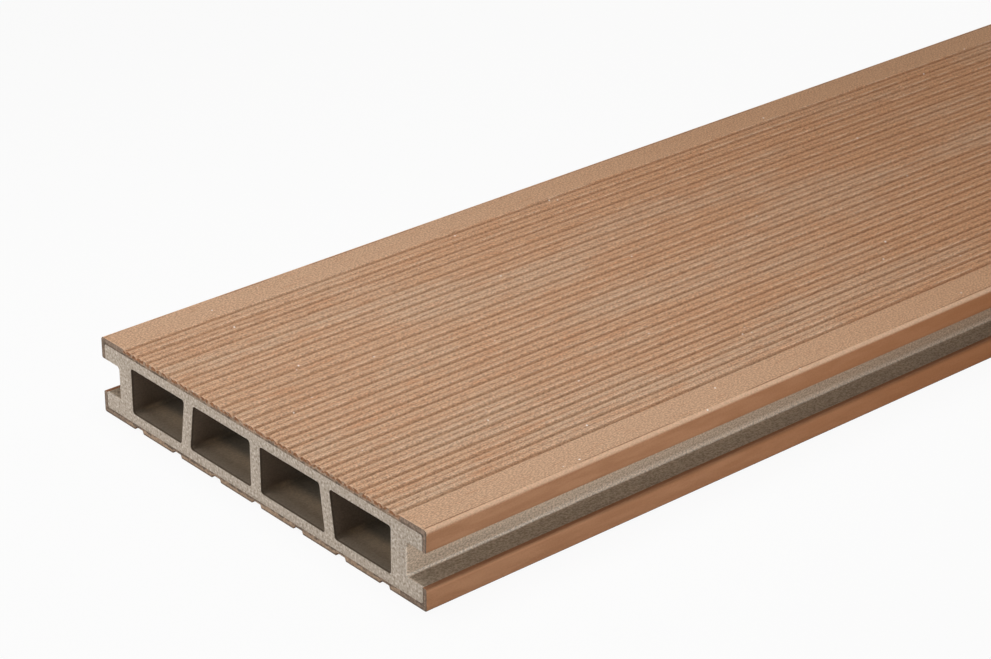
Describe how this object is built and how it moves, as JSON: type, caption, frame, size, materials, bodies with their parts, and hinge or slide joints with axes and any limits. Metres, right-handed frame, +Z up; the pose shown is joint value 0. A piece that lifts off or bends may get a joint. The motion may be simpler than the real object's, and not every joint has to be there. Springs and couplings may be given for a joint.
{
  "type": "decking board",
  "caption": "Grooved hollow decking board of wood-plastic composite: pale hollow core between brown cap layers, clip slots along both long sides, ribbed walking face.",
  "frame": {"origin": "middle of the underside, on the surface that the board lies on", "axes": "+X along the board's length, with the sawn end that the picture shows at -X; +Y across its width; +Z up, out of the ribbed walking face"},
  "size_m": [2.2, 0.15, 0.025],
  "materials": {
    "core": "matte, speckled, fine saw marks on the ends",
    "cap": "brushed matte, streaked along the length"
  },
  "bodies": {
    "root": {"core": "core", "top_cap": "cap", "bottom_cap": "cap"}
  },
  "joints": []
}
